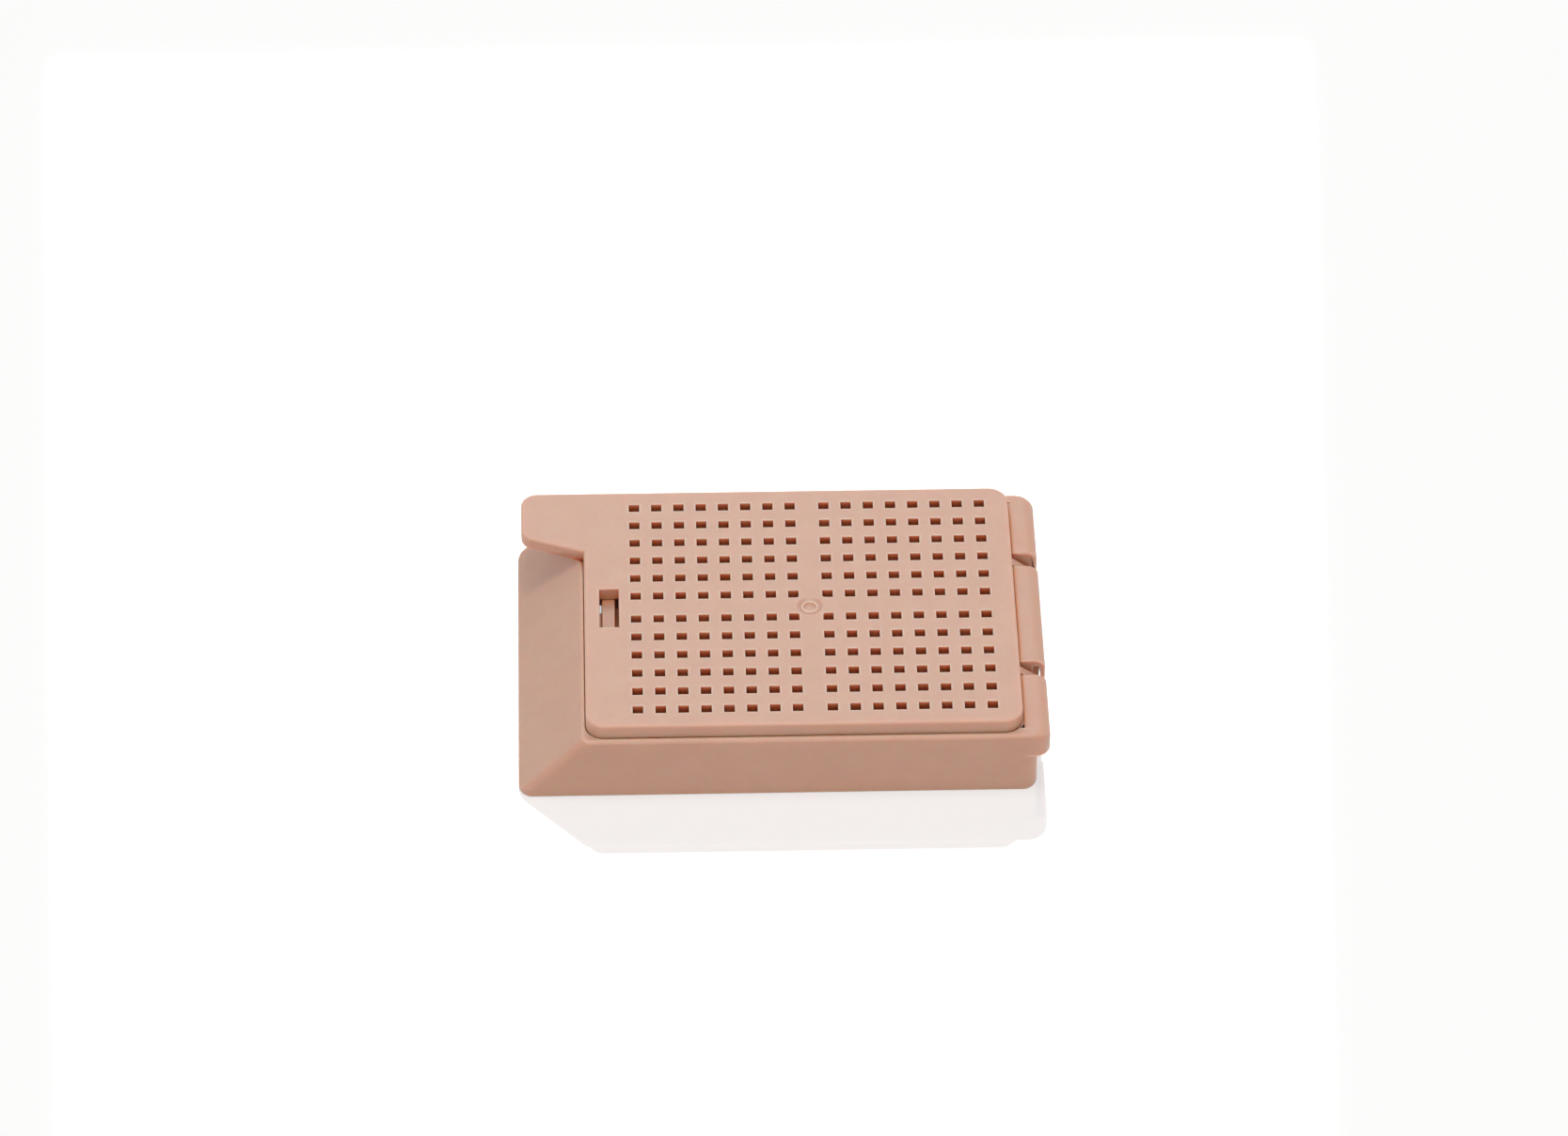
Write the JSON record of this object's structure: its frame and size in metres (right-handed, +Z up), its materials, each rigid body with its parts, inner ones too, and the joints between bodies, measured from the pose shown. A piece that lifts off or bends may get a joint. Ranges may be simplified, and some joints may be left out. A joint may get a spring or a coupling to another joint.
{
  "type": "tissue cassette",
  "caption": "Shallow perforated tray for tissue processing with a sloped writing face and a perforated lid on moulded hinge straps.",
  "frame": {"origin": "middle of the tray's length and width, on the surface it stands on", "axes": "+X along the tray towards the hinge end, -X towards the sloped writing face, +Y across the tray towards the finger tab's side, +Z up"},
  "size_m": [0.041, 0.0282, 0.0069],
  "materials": {
    "tray_plastic": "fine matte moulded grain, salmon tan",
    "lid_plastic": "fine matte moulded grain, salmon tan",
    "strap_plastic": "thin matte moulded strap, salmon tan"
  },
  "bodies": {
    "tray": {"base": "tray_plastic", "hinge_strap_rear": "strap_plastic", "hinge_strap_front": "strap_plastic"},
    "lid": {"lid": "lid_plastic"}
  },
  "joints": [
    {"name": "lid_hinge", "type": "hinge", "parent": "tray", "child": "lid", "pos_m": [0.01958, 0, 0.00415], "axis": [0, 1, 0], "range_deg": [0, 180], "deforming": ["hinge_strap_rear", "hinge_strap_front"]}
  ]
}
